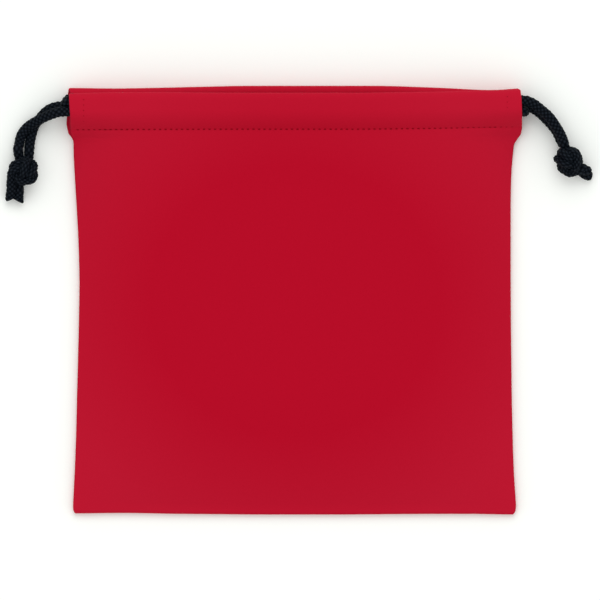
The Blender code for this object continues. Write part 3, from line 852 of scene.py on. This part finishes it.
def addStitch(bm, middle, way, up, long, wide):
    # a short round-ended length of thread, bowed over the cloth between its two holes
    side = way.cross(up)
    rings = []
    for step in range(9):
        turn = -1 + step / 4
        bow = math.cos(turn * math.pi / 2)
        centre = middle + way * (long / 2 * turn) + up * (wide * stitches["bow"] * bow - stitches["sunk"])
        thick = wide / 2 * max(1 - turn**4, 0.0) ** 0.5 + stitches["endHalf"]
        rings.append([bm.verts.new(centre + (side * math.cos(a) + up * math.sin(a)) * thick)
                      for a in (k * math.pi / 4 for k in range(8))])
    for here, there in zip(rings, rings[1:]):
        for k in range(8):
            bm.faces.new((here[k], here[(k + 1) % 8], there[(k + 1) % 8], there[k]))
    bm.faces.new(rings[0][::-1])
    bm.faces.new(rings[-1])


def makeStitching():
    bm = bmesh.new()
    count = int(2 * stitches["rowHalf"] / stitches["pitch"])
    up, right = Vector((0, 0, 1)), Vector((1, 0, 0))
    height = pouch["bodyLength"]
    for number in range(count + 1):
        x = (number - count / 2) * stitches["pitch"]
        place = Vector((x, height + frontLift(x, height) + originShift[1], casingSkin(x, height)))
        lean = (stitches["lean"] * math.sin(number * stitches["leanTurn"]), 0.0)[number % 2]
        way = (right + Vector((0, lean, 0))).normalized()
        addStitch(bm, place, way, up, stitches["long"], stitches["wide"])
    step = 0.0003       # over which the casing's slope is taken
    for x in stitches["slitRows"]:
        for number in range(int(stitches["slitTop"] / stitches["pitch"]) + 1):
            height = pouch["bodyLength"] + stitches["slitStart"] + number * stitches["pitch"]
            low, high = casingSkin(x, height - step), casingSkin(x, height + step)
            way = Vector((0, 2 * step, high - low)).normalized()
            place = Vector((x, height + frontLift(x, height) + originShift[1], casingSkin(x, height)))
            wide = stitches["wide"] * stitches["slitWide"]
            addStitch(bm, place, way, right.cross(way), stitches["slitLong"], wide)
    bmesh.ops.recalc_face_normals(bm, faces=bm.faces)
    mesh = bpy.data.meshes.new("stitching")
    bm.to_mesh(mesh)
    bm.free()
    mesh.shade_smooth()
    thread = addMesh("stitching", mesh, threadMaterial)
    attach(thread, "root")


makeStitching()
print("stitching made")


stageSizes = {
    "floorFinish": {"colour": (0.95, 0.95, 0.93), "roughness": 0.9, "specular": 0.0},
    "floorShown": (1.010, 1.038, 1.003),    # what the camera sees, so that it is white away from the pouch
    "floorHalf": 3.0,
    "floorDrop": 0.0002,        # keeps the floor off the cloth's underside
    "worldStrength": 0.80,
    # each lamp's place, power and size: one past the pouch's mouth and a weaker one nearly overhead
    "lamps": {"lamp_top": ((0.0, 1.3, 1.6), 10.4, 1.6), "lamp_bottom": ((0.0, -0.5, 2.0), 3.1, 1.6)},
}


def makeStage():
    half = stageSizes["floorHalf"]
    mesh = bpy.data.meshes.new("floor")
    corners = [(-half, -half, 0), (half, -half, 0), (half, half, 0), (-half, half, 0)]
    mesh.from_pydata(corners, [], [(0, 1, 2, 3)])
    material, shader = plainMaterial("white_floor", stageSizes["floorFinish"])
    nodes, links = material.node_tree.nodes, material.node_tree.links
    ray = nodes.new("ShaderNodeLightPath")
    seen, shown = nodes.new("ShaderNodeMath"), nodes.new("ShaderNodeMath")
    seen.operation = shown.operation = "MAXIMUM"
    colour = nodes.new("ShaderNodeMixRGB")
    colour.inputs["Color1"].default_value = (*stageSizes["floorFinish"]["colour"], 1.0)
    colour.inputs["Color2"].default_value = (*stageSizes["floorShown"], 1.0)
    links.new(ray.outputs["Is Camera Ray"], seen.inputs[0])
    links.new(ray.outputs["Is Glossy Ray"], seen.inputs[1])
    links.new(seen.outputs["Value"], shown.inputs[0])
    links.new(ray.outputs["Is Transmission Ray"], shown.inputs[1])
    links.new(shown.outputs["Value"], colour.inputs["Fac"])
    links.new(colour.outputs["Color"], shader.inputs["Base Color"])
    floor = addMesh("floor", mesh, material)
    floor.location.z = -stageSizes["floorDrop"]
    world = bpy.data.worlds.new("studio")
    bpy.context.scene.world = world
    world.use_nodes = True
    world.node_tree.nodes["Background"].inputs["Color"].default_value = (1.0, 1.0, 1.0, 1.0)
    world.node_tree.nodes["Background"].inputs["Strength"].default_value = stageSizes["worldStrength"]
    for name, (place, power, size) in stageSizes["lamps"].items():
        lamp = bpy.data.lights.new(name, "AREA")
        lamp.shape, lamp.size, lamp.energy = "DISK", size, power
        lampObject = bpy.data.objects.new(name, lamp)
        lampObject.location = place
        lampObject.rotation_euler = (-Vector(place)).to_track_quat("-Z", "Y").to_euler()
        bpy.context.scene.collection.objects.link(lampObject)
    bpy.context.scene.view_settings.view_transform = "Standard"


makeStage()
print("stage made")
